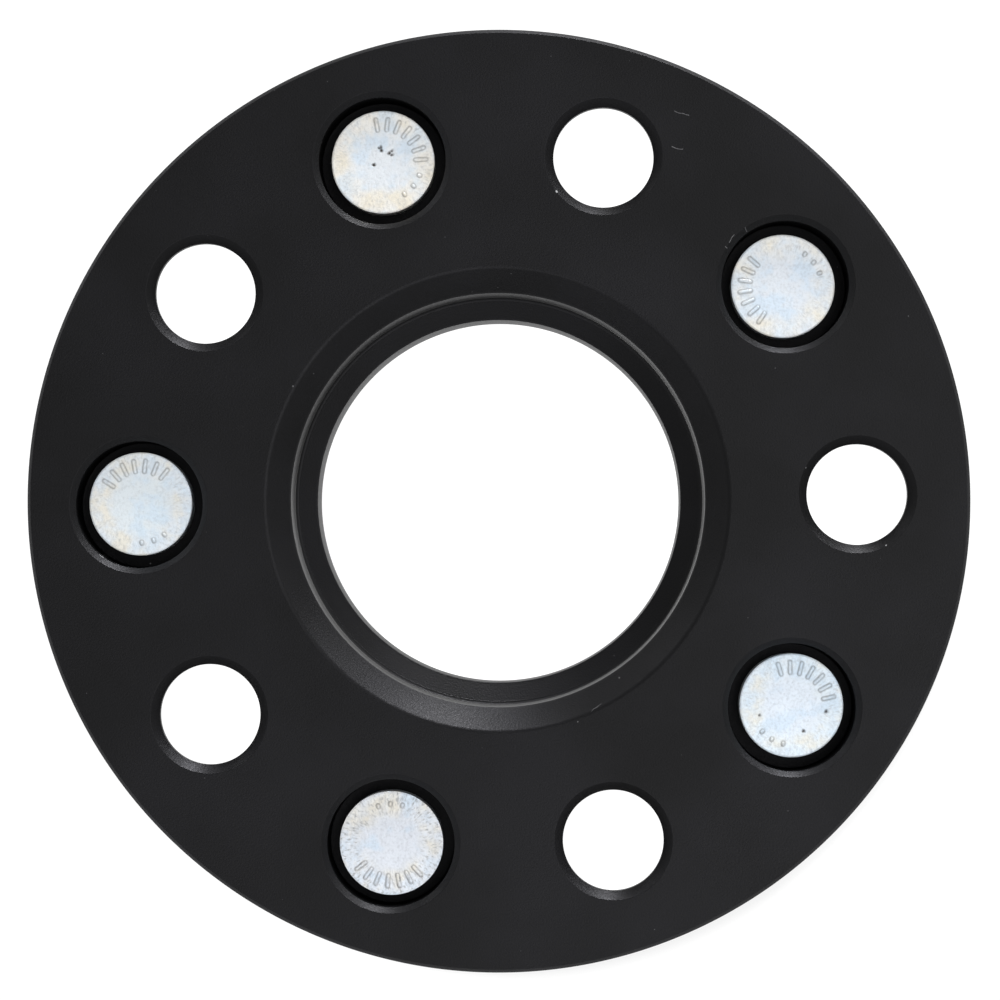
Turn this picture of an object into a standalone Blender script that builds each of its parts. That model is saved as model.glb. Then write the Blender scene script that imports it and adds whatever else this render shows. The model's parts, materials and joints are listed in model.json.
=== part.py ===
"""Bolt-on wheel spacer with five pressed-in wheel studs.

Units are metres and +Z is up. The part stands on its stud tips, with the face that bolts to the
vehicle's hub on top. The origin is on the bore's axis, at the height of the stud tips.

The body is turned from one blank and then drilled: a hub recess and a through bore down the middle,
a lip on the wheel side that centres the wheel, five lug holes with conical nut seats at the bottom of
deep nut pockets, and between them five stepped bores that hold the wheel studs. Each stud is headed,
splined where it presses into the body, and threaded below. The thread is left as a plain shank at its
major diameter.
"""

import math

import bmesh
import bpy

# Plate
PLATE_THICKNESS = 0.015
RIM_BREAK = 0.0006
RIM_WALL = 0.00455
BOLT_CIRCLE = 0.1143
STUD_COUNT = 5
PATTERN_ANGLE = math.radians(1.0)

# Hub recess, through bore and lip, all sized from the hub spigot that they fit
HUB_SPIGOT = 0.0661
RECESS_CLEARANCE = 0.0001
RECESS_CHAMFER = 0.0036
RECESS_FILLET = 0.0006
LEDGE_THICKNESS = 0.003
LEDGE_WIDTH = 0.0036
LIP_CLEARANCE = 0.0001
LIP_HEIGHT = 0.006
LIP_LEAD_IN = 0.0008
LIP_LEAD_IN_HEIGHT = 0.0016
LIP_INNER_BREAK = 0.0010
RELIEF_WIDTH = 0.0012
RELIEF_DEPTH = 0.0004

# Lug holes, from the hub face down
LUG_HOLE_RADIUS = 0.0080
LUG_HOLE_CHAMFER = 0.00135
LUG_LAND = 0.0012
NUT_SEAT_ANGLE = math.radians(60.0)
NUT_SEAT_WIDTH = 0.0026
NUT_POCKET_STEP = 0.0027
NUT_POCKET_BREAK = 0.0005

# Wheel studs: each radius steps out from the thread's, and the head stands out past the splines
THREAD_RADIUS = 0.0060
THREAD_DEPTH = 0.0009
STUD_REACH = 0.027
STUD_PILOT = 0.0025
STUD_PILOT_BREAK = 0.0005
SPLINE_STEP = 0.00115
SPLINE_DEPTH = 0.0004
SPLINE_TEETH = 26
SPLINE_LEAD_IN = 0.00045
SPLINE_LEAD_IN_HEIGHT = 0.0009
SPLINE_SHORT_OF_FACE = 0.0014
HEAD_SHOULDER = 0.0011
HEAD_THICKNESS = 0.0038
HEAD_EDGE_BREAK = 0.0002
HEAD_SINK = 0.0024

# Stepped bores that the studs press into
HEAD_POCKET_CLEARANCE = 0.0019
HEAD_POCKET_CHAMFER = 0.0009
STUD_BORE_BREAK = 0.0006

# Clear distance kept between a stud and the body
SEAT_GAP = 0.0003

# Flat facets round each turned form
BODY_FACETS = 96
LUG_FACETS = 36
POCKET_FACETS = 32
HEAD_FACETS = 40
SHANK_FACETS = 24
FILLET_STEPS = 2

# Edges that turn more than this stay sharp
SHARP_EDGE = math.radians(25.0)

# How far a cutter stands past the face that it opens
CUTTER_OVERRUN = 0.001

# Heights and radii that follow from the sizes above
WHEEL_FACE_Z = STUD_REACH
HUB_FACE_Z = WHEEL_FACE_Z + PLATE_THICKNESS
RECESS_RADIUS = HUB_SPIGOT / 2 + RECESS_CLEARANCE
RECESS_FLOOR_Z = WHEEL_FACE_Z + LEDGE_THICKNESS
BORE_RADIUS = RECESS_RADIUS - LEDGE_WIDTH
LIP_RADIUS = HUB_SPIGOT / 2 - LIP_CLEARANCE
LIP_END_Z = WHEEL_FACE_Z - LIP_HEIGHT
NUT_SEAT_RADIUS = LUG_HOLE_RADIUS + NUT_SEAT_WIDTH
NUT_POCKET_RADIUS = NUT_SEAT_RADIUS + NUT_POCKET_STEP
PLATE_RADIUS = BOLT_CIRCLE / 2 + NUT_POCKET_RADIUS + RIM_WALL
PILOT_RADIUS = THREAD_RADIUS - THREAD_DEPTH
SPLINE_RADIUS = THREAD_RADIUS + SPLINE_STEP
HEAD_RADIUS = SPLINE_RADIUS + HEAD_SHOULDER
HEAD_TOP_Z = HUB_FACE_Z - HEAD_SINK
HEAD_BOTTOM_Z = HEAD_TOP_Z - HEAD_THICKNESS
HEAD_POCKET_RADIUS = HEAD_RADIUS + HEAD_POCKET_CLEARANCE
HEAD_POCKET_FLOOR_Z = HEAD_BOTTOM_Z - SEAT_GAP
STUD_BORE_RADIUS = SPLINE_RADIUS + SEAT_GAP


def clear_scene() -> None:
    """Removes every object that the file opened with."""
    for existing in list(bpy.data.objects):
        bpy.data.objects.remove(existing, do_unlink=True)


def make_material(name: str, color: tuple, metallic: float, roughness: float) -> bpy.types.Material:
    """Makes one finish; color is linear red, green and blue."""
    material = bpy.data.materials.new(name)
    material.use_nodes = True
    shader = material.node_tree.nodes["Principled BSDF"]
    shader.inputs["Base Color"].default_value = (*color, 1.0)
    shader.inputs["Metallic"].default_value = metallic
    shader.inputs["Roughness"].default_value = roughness
    material.diffuse_color = (*color, 1.0)
    return material


def add_object(name: str, mesh: bpy.types.Mesh, location: tuple = (0.0, 0.0, 0.0)) -> bpy.types.Object:
    """Links a mesh into the scene as a named object."""
    made = bpy.data.objects.new(name, mesh)
    made.location = location
    bpy.context.collection.objects.link(made)
    return made


def finish_mesh(name: str, shape: bmesh.types.BMesh) -> bpy.types.Mesh:
    """Turns a bmesh into a mesh whose round sides are shaded smooth."""
    mesh = bpy.data.meshes.new(name)
    shape.to_mesh(mesh)
    shape.free()
    mesh.shade_smooth()
    mesh.set_sharp_from_angle(angle=SHARP_EDGE)
    return mesh


def turn_ring(name: str, section: list, facets: int) -> bpy.types.Mesh:
    """Turns a closed (radius, height) section that stays clear of the axis into a ring."""
    shape = bmesh.new()
    corners = [shape.verts.new((radius, 0.0, height)) for radius, height in section]
    edges = [shape.edges.new((corners[i - 1], corners[i])) for i in range(len(corners))]
    bmesh.ops.spin(
        shape, geom=corners + edges, cent=(0, 0, 0), axis=(0, 0, 1), angle=math.tau, steps=facets,
        use_merge=True,
    )
    bmesh.ops.recalc_face_normals(shape, faces=shape.faces)
    return finish_mesh(name, shape)


def add_row(shape: bmesh.types.BMesh, radii: list, height: float) -> list:
    """Adds a row of corners round the axis at one height, anticlockwise seen from above."""
    step = math.tau / len(radii)
    return [
        shape.verts.new((radius * math.cos(i * step), radius * math.sin(i * step), height))
        for i, radius in enumerate(radii)
    ]


def skin_rows(shape: bmesh.types.BMesh, upper: list, lower: list) -> None:
    """Skins from one row down to the next with faces that point out.

    Rows with as many corners as each other are joined by four-sided faces. Between rows that differ,
    a triangle is added at a time, on whichever row lags behind in angle.
    """
    if len(upper) == len(lower):
        for i in range(len(upper)):
            shape.faces.new((upper[i - 1], lower[i - 1], lower[i], upper[i]))
        return
    high, low = 0, 0
    while high < len(upper) or low < len(lower):
        top, bottom = upper[high % len(upper)], lower[low % len(lower)]
        if (high + 1) * len(lower) <= (low + 1) * len(upper):
            high += 1
            shape.faces.new((top, bottom, upper[high % len(upper)]))
        else:
            low += 1
            shape.faces.new((top, bottom, lower[low % len(lower)]))


def stack_rows(name: str, rows: list) -> bpy.types.Mesh:
    """Makes a solid from (radii, height) rows, listed from the top down, with flat ends."""
    shape = bmesh.new()
    made = [add_row(shape, radii, height) for radii, height in rows]
    for upper, lower in zip(made, made[1:]):
        skin_rows(shape, upper, lower)
    shape.faces.new(made[0])
    shape.faces.new(reversed(made[-1]))
    return finish_mesh(name, shape)


def circle(radius: float, facets: int) -> list:
    """Gives the same radius at every corner, for a round row."""
    return [radius] * facets


def splined(crest: float) -> list:
    """Gives the radii round the splines, a crest and then a root for each tooth."""
    return [crest, crest - SPLINE_DEPTH] * SPLINE_TEETH


def fillet_points(center: tuple, radius: float, start: float, end: float) -> list:
    """Points of an arc in a section, from the start angle to the end angle, both included."""
    return [
        (center[0] + radius * math.cos(angle), center[1] + radius * math.sin(angle))
        for angle in (start + (end - start) * i / FILLET_STEPS for i in range(FILLET_STEPS + 1))
    ]


def body_section() -> list:
    """Half section of the turned blank, anticlockwise from the rim's lower edge."""
    fillet_center = (RECESS_RADIUS - RECESS_FILLET, RECESS_FLOOR_Z + RECESS_FILLET)
    rim = [
        (PLATE_RADIUS - RIM_BREAK, WHEEL_FACE_Z),
        (PLATE_RADIUS, WHEEL_FACE_Z + RIM_BREAK),
        (PLATE_RADIUS, HUB_FACE_Z - RIM_BREAK),
        (PLATE_RADIUS - RIM_BREAK, HUB_FACE_Z),
    ]
    recess = [
        (RECESS_RADIUS + RECESS_CHAMFER, HUB_FACE_Z),
        (RECESS_RADIUS, HUB_FACE_Z - RECESS_CHAMFER),
        *fillet_points(fillet_center, RECESS_FILLET, 0.0, -math.pi / 2),
    ]
    bore = [
        (BORE_RADIUS, RECESS_FLOOR_Z),
        (BORE_RADIUS, LIP_END_Z + LIP_INNER_BREAK),
        (BORE_RADIUS + LIP_INNER_BREAK, LIP_END_Z),
    ]
    lip = [
        (LIP_RADIUS - LIP_LEAD_IN, LIP_END_Z),
        (LIP_RADIUS, LIP_END_Z + LIP_LEAD_IN_HEIGHT),
        (LIP_RADIUS, WHEEL_FACE_Z + RELIEF_DEPTH),
        (LIP_RADIUS + RELIEF_WIDTH, WHEEL_FACE_Z + RELIEF_DEPTH),
        (LIP_RADIUS + RELIEF_WIDTH + RELIEF_DEPTH, WHEEL_FACE_Z),
    ]
    return rim + recess + bore + lip


def lug_hole_rows() -> list:
    """Cutter for a lug hole: top chamfer, plain land, conical nut seat and nut pocket."""
    land_top = HUB_FACE_Z - LUG_HOLE_CHAMFER
    land_bottom = land_top - LUG_LAND
    pocket_floor = land_bottom - NUT_SEAT_WIDTH / math.tan(NUT_SEAT_ANGLE / 2)
    steps = [
        (LUG_HOLE_RADIUS + LUG_HOLE_CHAMFER + CUTTER_OVERRUN, HUB_FACE_Z + CUTTER_OVERRUN),
        (LUG_HOLE_RADIUS, land_top),
        (LUG_HOLE_RADIUS, land_bottom),
        (NUT_SEAT_RADIUS, pocket_floor),
        (NUT_POCKET_RADIUS, pocket_floor),
        (NUT_POCKET_RADIUS, WHEEL_FACE_Z + NUT_POCKET_BREAK),
        (NUT_POCKET_RADIUS + NUT_POCKET_BREAK + CUTTER_OVERRUN, WHEEL_FACE_Z - CUTTER_OVERRUN),
    ]
    return [(circle(radius, LUG_FACETS), height) for radius, height in steps]


def stud_bore_rows() -> list:
    """Cutter for a stud's bore: chamfered pocket for the head, then the bore for the splines."""
    steps = [
        (HEAD_POCKET_RADIUS + HEAD_POCKET_CHAMFER + CUTTER_OVERRUN, HUB_FACE_Z + CUTTER_OVERRUN),
        (HEAD_POCKET_RADIUS, HUB_FACE_Z - HEAD_POCKET_CHAMFER),
        (HEAD_POCKET_RADIUS, HEAD_POCKET_FLOOR_Z),
        (STUD_BORE_RADIUS, HEAD_POCKET_FLOOR_Z),
        (STUD_BORE_RADIUS, WHEEL_FACE_Z + STUD_BORE_BREAK),
        (STUD_BORE_RADIUS + STUD_BORE_BREAK + CUTTER_OVERRUN, WHEEL_FACE_Z - CUTTER_OVERRUN),
    ]
    return [(circle(radius, POCKET_FACETS), height) for radius, height in steps]


def stud_rows() -> list:
    """Outline of one stud from its head down: head, splines, shank and pilot."""
    spline_end = WHEEL_FACE_Z + SPLINE_SHORT_OF_FACE
    head = [
        (circle(HEAD_RADIUS - HEAD_EDGE_BREAK, HEAD_FACETS), HEAD_TOP_Z),
        (circle(HEAD_RADIUS, HEAD_FACETS), HEAD_TOP_Z - HEAD_EDGE_BREAK),
        (circle(HEAD_RADIUS, HEAD_FACETS), HEAD_BOTTOM_Z),
    ]
    splines = [
        (splined(SPLINE_RADIUS), HEAD_BOTTOM_Z),
        (splined(SPLINE_RADIUS), spline_end + SPLINE_LEAD_IN_HEIGHT),
        (splined(SPLINE_RADIUS - SPLINE_LEAD_IN), spline_end),
    ]
    shank = [
        (circle(THREAD_RADIUS, SHANK_FACETS), spline_end),
        (circle(THREAD_RADIUS, SHANK_FACETS), STUD_PILOT + THREAD_DEPTH),
        (circle(PILOT_RADIUS, SHANK_FACETS), STUD_PILOT),
        (circle(PILOT_RADIUS, SHANK_FACETS), STUD_PILOT_BREAK),
        (circle(PILOT_RADIUS - STUD_PILOT_BREAK, SHANK_FACETS), 0.0),
    ]
    return head + splines + shank


def pattern_place(angle: float) -> tuple:
    """Place on the bolt circle at an angle from +X."""
    return (BOLT_CIRCLE / 2 * math.cos(angle), BOLT_CIRCLE / 2 * math.sin(angle), 0.0)


def lug_angle(index: int) -> float:
    """Angle of a lug hole, counted round from the first."""
    return PATTERN_ANGLE + math.tau * index / STUD_COUNT


def stud_angle(index: int) -> float:
    """Angle of a stud, halfway between two lug holes."""
    return lug_angle(index) + math.pi / STUD_COUNT


def add_cutter(name: str, mesh: bpy.types.Mesh, angle: float) -> bpy.types.Object:
    """Places a cutter on the bolt circle; it is a guide and not a piece of the part."""
    cutter = add_object(name, mesh, pattern_place(angle))
    cutter.rotation_euler.z = angle
    cutter.hide_render = True
    cutter.display_type = "WIRE"
    return cutter


def drill(body: bpy.types.Object, cutter: bpy.types.Object) -> None:
    """Cuts a cutter's shape from the body."""
    cut = body.modifiers.new(cutter.name, "BOOLEAN")
    cut.operation = "DIFFERENCE"
    cut.solver = "EXACT"
    cut.object = cutter


def build_body(material: bpy.types.Material) -> bpy.types.Object:
    """Spacer body: the turned blank, drilled for the vehicle's studs and for its own."""
    body = add_object("spacer_body", turn_ring("spacer_body", body_section(), BODY_FACETS))
    body.data.materials.append(material)
    lug_cutter = stack_rows("lug_hole_cutter", lug_hole_rows())
    stud_cutter = stack_rows("stud_bore_cutter", stud_bore_rows())
    for index in range(STUD_COUNT):
        drill(body, add_cutter(f"lug_hole_cutter_{index + 1}", lug_cutter, lug_angle(index)))
        drill(body, add_cutter(f"stud_bore_cutter_{index + 1}", stud_cutter, stud_angle(index)))
    return body


def build_studs(material: bpy.types.Material) -> list:
    """Five wheel studs, each in its stepped bore."""
    mesh = stack_rows("wheel_stud", stud_rows())
    mesh.materials.append(material)
    studs = []
    for index in range(STUD_COUNT):
        angle = stud_angle(index)
        stud = add_object(f"wheel_stud_{index + 1}", mesh, pattern_place(angle))
        stud.rotation_euler.z = angle
        studs.append(stud)
    return studs


def main() -> None:
    """Builds the whole part."""
    clear_scene()
    anodised = make_material("black_anodised_aluminium", (0.018, 0.018, 0.020), 0.6, 0.42)
    zinc = make_material("zinc_plated_steel", (0.72, 0.73, 0.75), 0.9, 0.38)
    build_body(anodised)
    build_studs(zinc)


main()
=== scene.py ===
"""Looks of a bolt-on wheel spacer: its black anodised body and its five zinc plated wheel studs.

Units are metres and +Z is up. The spacer lies with its hub face up, as in the frame. The body is turned
and drilled, and each stud is headed, splined and rolled, by Geometry Nodes from the sections below.
"""

import json
import logging
import math
from dataclasses import dataclass, field
from enum import Enum

import bmesh
import bpy
from mathutils import Matrix, Vector


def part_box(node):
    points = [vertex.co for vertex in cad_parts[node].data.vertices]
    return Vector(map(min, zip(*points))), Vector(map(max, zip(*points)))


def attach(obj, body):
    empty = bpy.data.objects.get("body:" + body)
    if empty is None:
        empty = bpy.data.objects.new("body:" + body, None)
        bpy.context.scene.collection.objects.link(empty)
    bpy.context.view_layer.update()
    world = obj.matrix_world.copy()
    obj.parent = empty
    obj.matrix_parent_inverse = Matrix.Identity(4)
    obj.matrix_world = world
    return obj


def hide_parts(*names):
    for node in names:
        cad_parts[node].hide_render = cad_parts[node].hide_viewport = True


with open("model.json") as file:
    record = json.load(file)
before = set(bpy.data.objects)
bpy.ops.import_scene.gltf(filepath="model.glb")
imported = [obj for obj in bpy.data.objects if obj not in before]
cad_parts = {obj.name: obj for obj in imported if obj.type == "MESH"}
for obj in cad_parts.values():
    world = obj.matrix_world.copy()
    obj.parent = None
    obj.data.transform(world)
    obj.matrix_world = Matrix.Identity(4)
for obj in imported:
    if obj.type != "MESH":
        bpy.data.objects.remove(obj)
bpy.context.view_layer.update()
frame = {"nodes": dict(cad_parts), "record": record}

MM = 0.001
DEGREE = math.radians(1.0)

# Points nearer to each other than this are one point
WELD = 0.001 * MM

log = logging.getLogger("wheel_spacer")


class Slot(Enum):
    """The record's material slots."""

    ALUMINIUM = "anodised_aluminium"
    STEEL = "zinc_plated_steel"


class HeadSurface(Enum):
    """How a stud's head came out of the header and the plating drum."""

    EVEN = "even"
    PITTED = "pitted"
    RAGGED = "ragged"


def linear(hex_colour: str) -> tuple[float, float, float, float]:
    """Turns an sRGB hex colour to linear light.

    Args:
        hex_colour: Colour such as "#26262A".

    Returns:
        Red, green, blue and an alpha of 1.
    """
    channels = [int(hex_colour[place:place + 2], 16) / 255 for place in (1, 3, 5)]
    lit = [c / 12.92 if c <= 0.04045 else ((c + 0.055) / 1.055) ** 2.4 for c in channels]
    return (*lit, 1.0)


Source = bpy.types.Node | bpy.types.NodeSocket | Vector | tuple | float


@dataclass(frozen=True)
class Nodes:
    """A tree of nodes, with one method that adds a node and short ways to call it.

    Wherever a method takes a source, a node stands for its first output.
    """

    tree: bpy.types.NodeTree

    def feed(self, node: bpy.types.Node, inputs: dict) -> None:
        """Sets and links a node's inputs.

        Args:
            node: The node.
            inputs: Sources by an input's name or number. A list links each of its members.
        """
        for key, value in inputs.items():
            for member in value if isinstance(value, list) else [value]:
                source = member.outputs[0] if isinstance(member, bpy.types.Node) else member
                if isinstance(source, bpy.types.NodeSocket):
                    self.tree.links.new(source, node.inputs[key])
                else:
                    node.inputs[key].default_value = source

    def add(self, kind: str, settings: dict | None = None, inputs: dict | None = None) -> bpy.types.Node:
        """Adds a node.

        Args:
            kind: The node's type.
            settings: Properties to set, by name.
            inputs: Its inputs, as for feed.

        Returns:
            The new node.
        """
        node = self.tree.nodes.new(kind)
        for name, value in (settings or {}).items():
            setattr(node, name, value)
        self.feed(node, inputs or {})
        return node

    def maths(self, operation: str, *values: Source) -> bpy.types.Node:
        """Adds a sum of numbers."""
        return self.add("ShaderNodeMath", {"operation": operation}, dict(enumerate(values)))

    def vectors(self, operation: str, *values: Source) -> bpy.types.NodeSocket:
        """Adds a sum of vectors and gives the output that it fills."""
        node = self.add("ShaderNodeVectorMath", {"operation": operation}, dict(enumerate(values)))
        return node.outputs["Value" if operation in ("LENGTH", "DISTANCE", "DOT_PRODUCT") else "Vector"]

    def scaled(self, vector: Source, factor: Source) -> bpy.types.Node:
        """Adds a node that multiplies a vector by a number."""
        return self.add("ShaderNodeVectorMath", {"operation": "SCALE"}, {0: vector, "Scale": factor})

    def upright(self, height: Source) -> bpy.types.Node:
        """Adds a node that gives a vector along the Z axis."""
        return self.add("ShaderNodeCombineXYZ", inputs={"Z": height})

    def ramp(
        self, value: Source, start: Source, end: Source, low: Source = 0.0, high: Source = 1.0
    ) -> bpy.types.Node:
        """Adds a straight ramp.

        Args:
            value: What climbs the ramp.
            start: Value at the foot of the ramp.
            end: Value at its top.
            low: What it gives at the foot.
            high: What it gives at the top.

        Returns:
            The ramp.
        """
        return self.add("ShaderNodeMapRange", inputs={
            "Value": value, "From Min": start, "From Max": end, "To Min": low, "To Max": high,
        })

    def soft_ramp(
        self, value: Source, start: Source, end: Source, low: Source = 0.0, high: Source = 1.0
    ) -> bpy.types.Node:
        """Adds a ramp with rounded ends.

        Args:
            value: What climbs the ramp.
            start: Value at the foot of the ramp.
            end: Value at its top.
            low: What it gives at the foot.
            high: What it gives at the top.

        Returns:
            The ramp.
        """
        node = self.ramp(value, start, end, low, high)
        node.interpolation_type = "SMOOTHSTEP"
        return node

    def noise(
        self, place: Source, size: float, detail: float, seed: Source | None = None
    ) -> bpy.types.Node:
        """Adds noise with lumps of a size, which a seed can tell from other noise.

        Args:
            place: Where it is looked up.
            size: Size of its lumps.
            detail: How many finer layers it has.
            seed: What tells it from other noise of the same size.

        Returns:
            The noise.
        """
        inputs = {"Vector": place, "Scale": 1 / size, "Detail": detail}
        if seed is None:
            return self.add("ShaderNodeTexNoise", inputs=inputs)
        return self.add("ShaderNodeTexNoise", {"noise_dimensions": "4D"}, inputs | {"W": seed})

    def blend(self, share: Source, none: Source, full: Source) -> bpy.types.Node:
        """Adds a node that goes from one number to another as the share goes from 0 to 1."""
        return self.add("ShaderNodeMix", inputs={0: share, 2: none, 3: full})

    def coats(self, colour: str, coats: list[tuple[Source, str]]) -> bpy.types.NodeSocket:
        """Adds coats of colour over a first one.

        Args:
            colour: The first colour.
            coats: How much of each coat there is, and its colour.

        Returns:
            The colour on top.
        """
        paint = linear(colour)
        for share, coat in coats:
            mixed = self.add("ShaderNodeMix", {"data_type": "RGBA"}, {0: share, 6: paint, 7: linear(coat)})
            paint = mixed.outputs[2]
        return paint

    def spots(self, spots: list[tuple[Source, float, float]]) -> bpy.types.Node:
        """Adds soft-edged spots.

        Args:
            spots: The distance from each spot's middle, where the spot ends and where it is full.

        Returns:
            A node that gives 1 in a spot.
        """
        found = self.maths("MAXIMUM", 0.0, 0.0)
        for away, end, full in spots:
            found = self.maths("MAXIMUM", found, self.soft_ramp(away, end, full))
        return found

    def bump(self, height: Source, depth: float, under: Source | None = None) -> bpy.types.Node:
        """Adds a bump, over another one where there is one."""
        inputs = {"Height": height, "Strength": 1.0, "Distance": depth}
        return self.add("ShaderNodeBump", inputs=inputs if under is None else inputs | {"Normal": under})

    def run(self, tree: bpy.types.NodeTree, **inputs: Source) -> bpy.types.Node:
        """Adds a shared tree, with its inputs by their names in small letters."""
        titled = {name.replace("_", " ").title(): value for name, value in inputs.items()}
        return self.add("GeometryNodeGroup", {"node_tree": tree}, titled)

    def joined(self, parts: list[bpy.types.Node]) -> bpy.types.Node:
        """Adds a node that joins pieces of geometry."""
        return self.add("GeometryNodeJoinGeometry", inputs={"Geometry": parts})

    def welded(self, geometry: Source, distance: float) -> bpy.types.Node:
        """Adds a node that welds points nearer than a distance."""
        return self.add("GeometryNodeMergeByDistance", inputs={"Geometry": geometry, "Distance": distance})

    def realised(self, geometry: Source) -> bpy.types.Node:
        """Adds a node that turns copies into real geometry."""
        return self.add("GeometryNodeRealizeInstances", inputs={"Geometry": geometry})

    def section(self, guide: bpy.types.Object) -> bpy.types.NodeSocket:
        """Adds a node that reads a guide object's points."""
        return self.add("GeometryNodeObjectInfo", inputs={"Object": guide}).outputs["Geometry"]

    def give(self, geometry: Source) -> bpy.types.NodeTree:
        """Adds the output of a Geometry Nodes tree and gives the tree."""
        self.add("NodeGroupOutput", inputs={"Geometry": geometry})
        return self.tree

    def dressed(self, geometry: Source, material: bpy.types.Material) -> bpy.types.NodeTree:
        """Adds a material and the output, and gives the tree."""
        inputs = {"Geometry": self.realised(geometry), "Material": material}
        return self.give(self.add("GeometryNodeSetMaterial", inputs=inputs))


@dataclass(frozen=True)
class Surface(Nodes):
    """Nodes that also know where a surface is.

    Attributes:
        place: The surface's place.
        flat: That place, brought down to the origin's height.
        reach: Its distance from the Z axis.
        height: Its height.
    """

    place: bpy.types.NodeSocket
    flat: bpy.types.NodeSocket
    reach: bpy.types.NodeSocket
    height: bpy.types.NodeSocket

    @classmethod
    def read(cls, nodes: Nodes, place: bpy.types.NodeSocket) -> "Surface":
        """Adds the nodes that find a place's distance from the axis and its height.

        Args:
            nodes: The nodes to add to.
            place: The surface's place.

        Returns:
            The surface.
        """
        flat = nodes.vectors("MULTIPLY", place, (1.0, 1.0, 0.0))
        parts = nodes.add("ShaderNodeSeparateXYZ", inputs={"Vector": place})
        return cls(nodes.tree, place, flat, nodes.vectors("LENGTH", flat), parts.outputs["Z"])


def new_tree(name: str, **inputs: str) -> tuple[Nodes, bpy.types.NodeOutputs]:
    """Starts a Geometry Nodes tree that takes and gives geometry.

    Args:
        name: The tree's name.
        inputs: Socket type of each further input, by the input's name in small letters.

    Returns:
        The tree's nodes, and its inputs by name.
    """
    tree = bpy.data.node_groups.new(name, "GeometryNodeTree")
    tree.interface.new_socket("Geometry", in_out="INPUT", socket_type="NodeSocketGeometry")
    for label, kind in inputs.items():
        title = label.replace("_", " ").title()
        tree.interface.new_socket(title, in_out="INPUT", socket_type=f"NodeSocket{kind}")
    tree.interface.new_socket("Geometry", in_out="OUTPUT", socket_type="NodeSocketGeometry")
    nodes = Nodes(tree)
    return nodes, nodes.add("NodeGroupInput").outputs


def new_material(name: str) -> tuple[bpy.types.Material, Nodes, bpy.types.Node]:
    """Makes a material, and gives it with its nodes and its shader.

    Args:
        name: The material's name.

    Returns:
        The material, its nodes and its shader.
    """
    material = bpy.data.materials.new(name)
    material.use_nodes = True
    return material, Nodes(material.node_tree), material.node_tree.nodes["Principled BSDF"]


def link_object(name: str, mesh: bpy.types.Mesh) -> bpy.types.Object:
    """Links a mesh into the scene as an object at the origin.

    Args:
        name: The object's name.
        mesh: Its mesh.

    Returns:
        The object.
    """
    made = bpy.data.objects.new(name, mesh)
    bpy.context.scene.collection.objects.link(made)
    return made


def grow(
    name: str, base: bpy.types.Mesh, tree: bpy.types.NodeTree, guides: list[bpy.types.Object]
) -> bpy.types.Object:
    """Runs a Geometry Nodes tree on a mesh and keeps what it gives as a plain mesh.

    Args:
        name: Name of the piece.
        base: Mesh that the tree starts from.
        tree: The tree.
        guides: Objects that the tree reads, which go when it has run.

    Returns:
        The piece, with no modifier left on it.
    """
    piece = link_object(name, base)
    modifier = piece.modifiers.new(tree.name, "NODES")
    modifier.node_group = tree
    graph = bpy.context.evaluated_depsgraph_get()
    grown = bpy.data.meshes.new_from_object(piece.evaluated_get(graph), depsgraph=graph)
    piece.modifiers.remove(modifier)
    piece.data = grown
    for guide in guides:
        bpy.data.objects.remove(guide)
    return piece


def crisp_edges(mesh: bpy.types.Mesh, crease: float) -> None:
    """Shades a mesh smooth, but for its creases and the outlines of its level faces.

    Args:
        mesh: A closed mesh.
        crease: Edges that turn more than this stay sharp.
    """
    level = 0.999999
    shape = bmesh.new()
    shape.from_mesh(mesh)
    bmesh.ops.recalc_face_normals(shape, faces=shape.faces)
    for face in shape.faces:
        face.smooth = True
    for edge in shape.edges:
        flats = sum(abs(face.normal.z) > level for face in edge.link_faces)
        edge.smooth = flats != 1 and edge.calc_face_angle(0.0) < crease
    shape.to_mesh(mesh)
    shape.free()


@dataclass(frozen=True)
class Corner:
    """One corner of a turned section, in metres.

    Attributes:
        radius: Distance from the axis.
        height: Height above the stud tips.
        edge: Radius that the corner is rounded to.
        rows: How many stretches the way to the next corner is divided into.
    """

    radius: float
    height: float
    edge: float = 0.0
    rows: int = 1


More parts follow.
